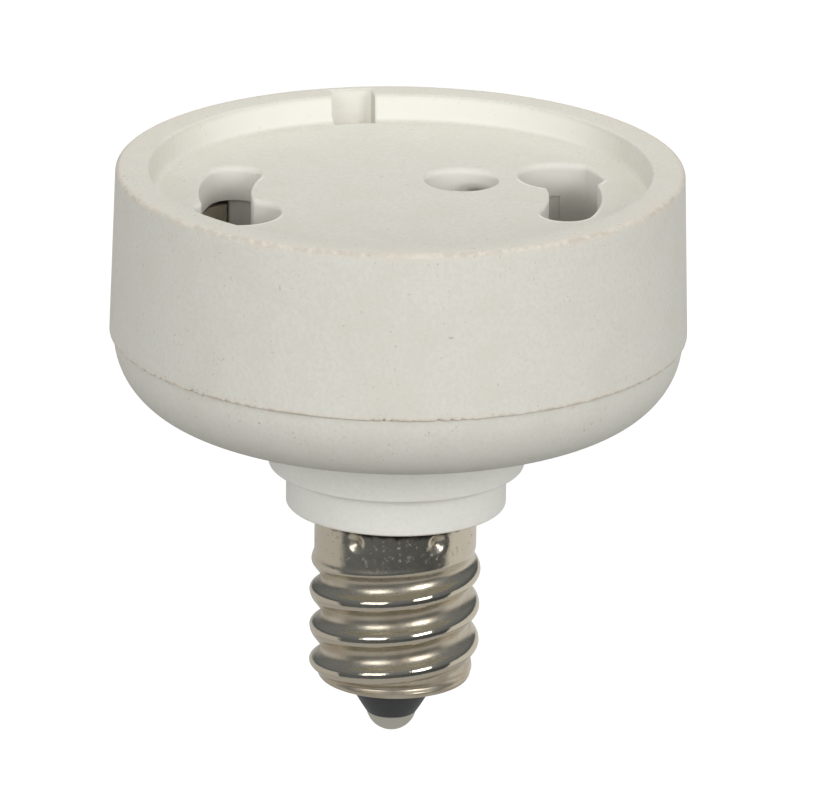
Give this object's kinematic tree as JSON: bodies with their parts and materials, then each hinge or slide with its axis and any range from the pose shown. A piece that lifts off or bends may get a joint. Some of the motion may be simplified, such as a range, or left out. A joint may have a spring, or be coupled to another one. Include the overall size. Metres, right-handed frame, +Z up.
{
  "type": "lamp socket adapter",
  "caption": "Screw-base lamp socket adapter: round ceramic holder with a recessed face and twist-lock keyholes, on a stepped white neck with a threaded metal shell and a centre contact.",
  "frame": {"origin": "on the axis, at the shoulder where the threaded shell meets the collar", "axes": "+Z up the axis from the screw base to the socket's face, +X through the middle of the right-hand keyhole, +Y away from the viewer"},
  "size_m": [0.0398, 0.0396, 0.0408],
  "materials": {
    "ceramic": "unglazed, fine specks",
    "neck_white": "satin",
    "nickel_plate": "bright nickel",
    "tip_black": "gloss",
    "spring_metal": "plain",
    "tinned_wire": "tinned",
    "sleeve_white": "matte",
    "steel": "zinc plated"
  },
  "bodies": {
    "root": {"socket_cap": "ceramic", "base_bowl": "ceramic", "base_neck": "neck_white", "screw_shell": "nickel_plate", "tip_insulator": "tip_black", "centre_contact": "nickel_plate", "contact_spring_right": "spring_metal", "contact_spring_left": "spring_metal", "live_wire": "tinned_wire", "live_sleeve": "sleeve_white", "neutral_wire": "tinned_wire", "neutral_sleeve": "sleeve_white", "assembly_screw": "steel", "lock_washer": "steel"}
  },
  "joints": []
}
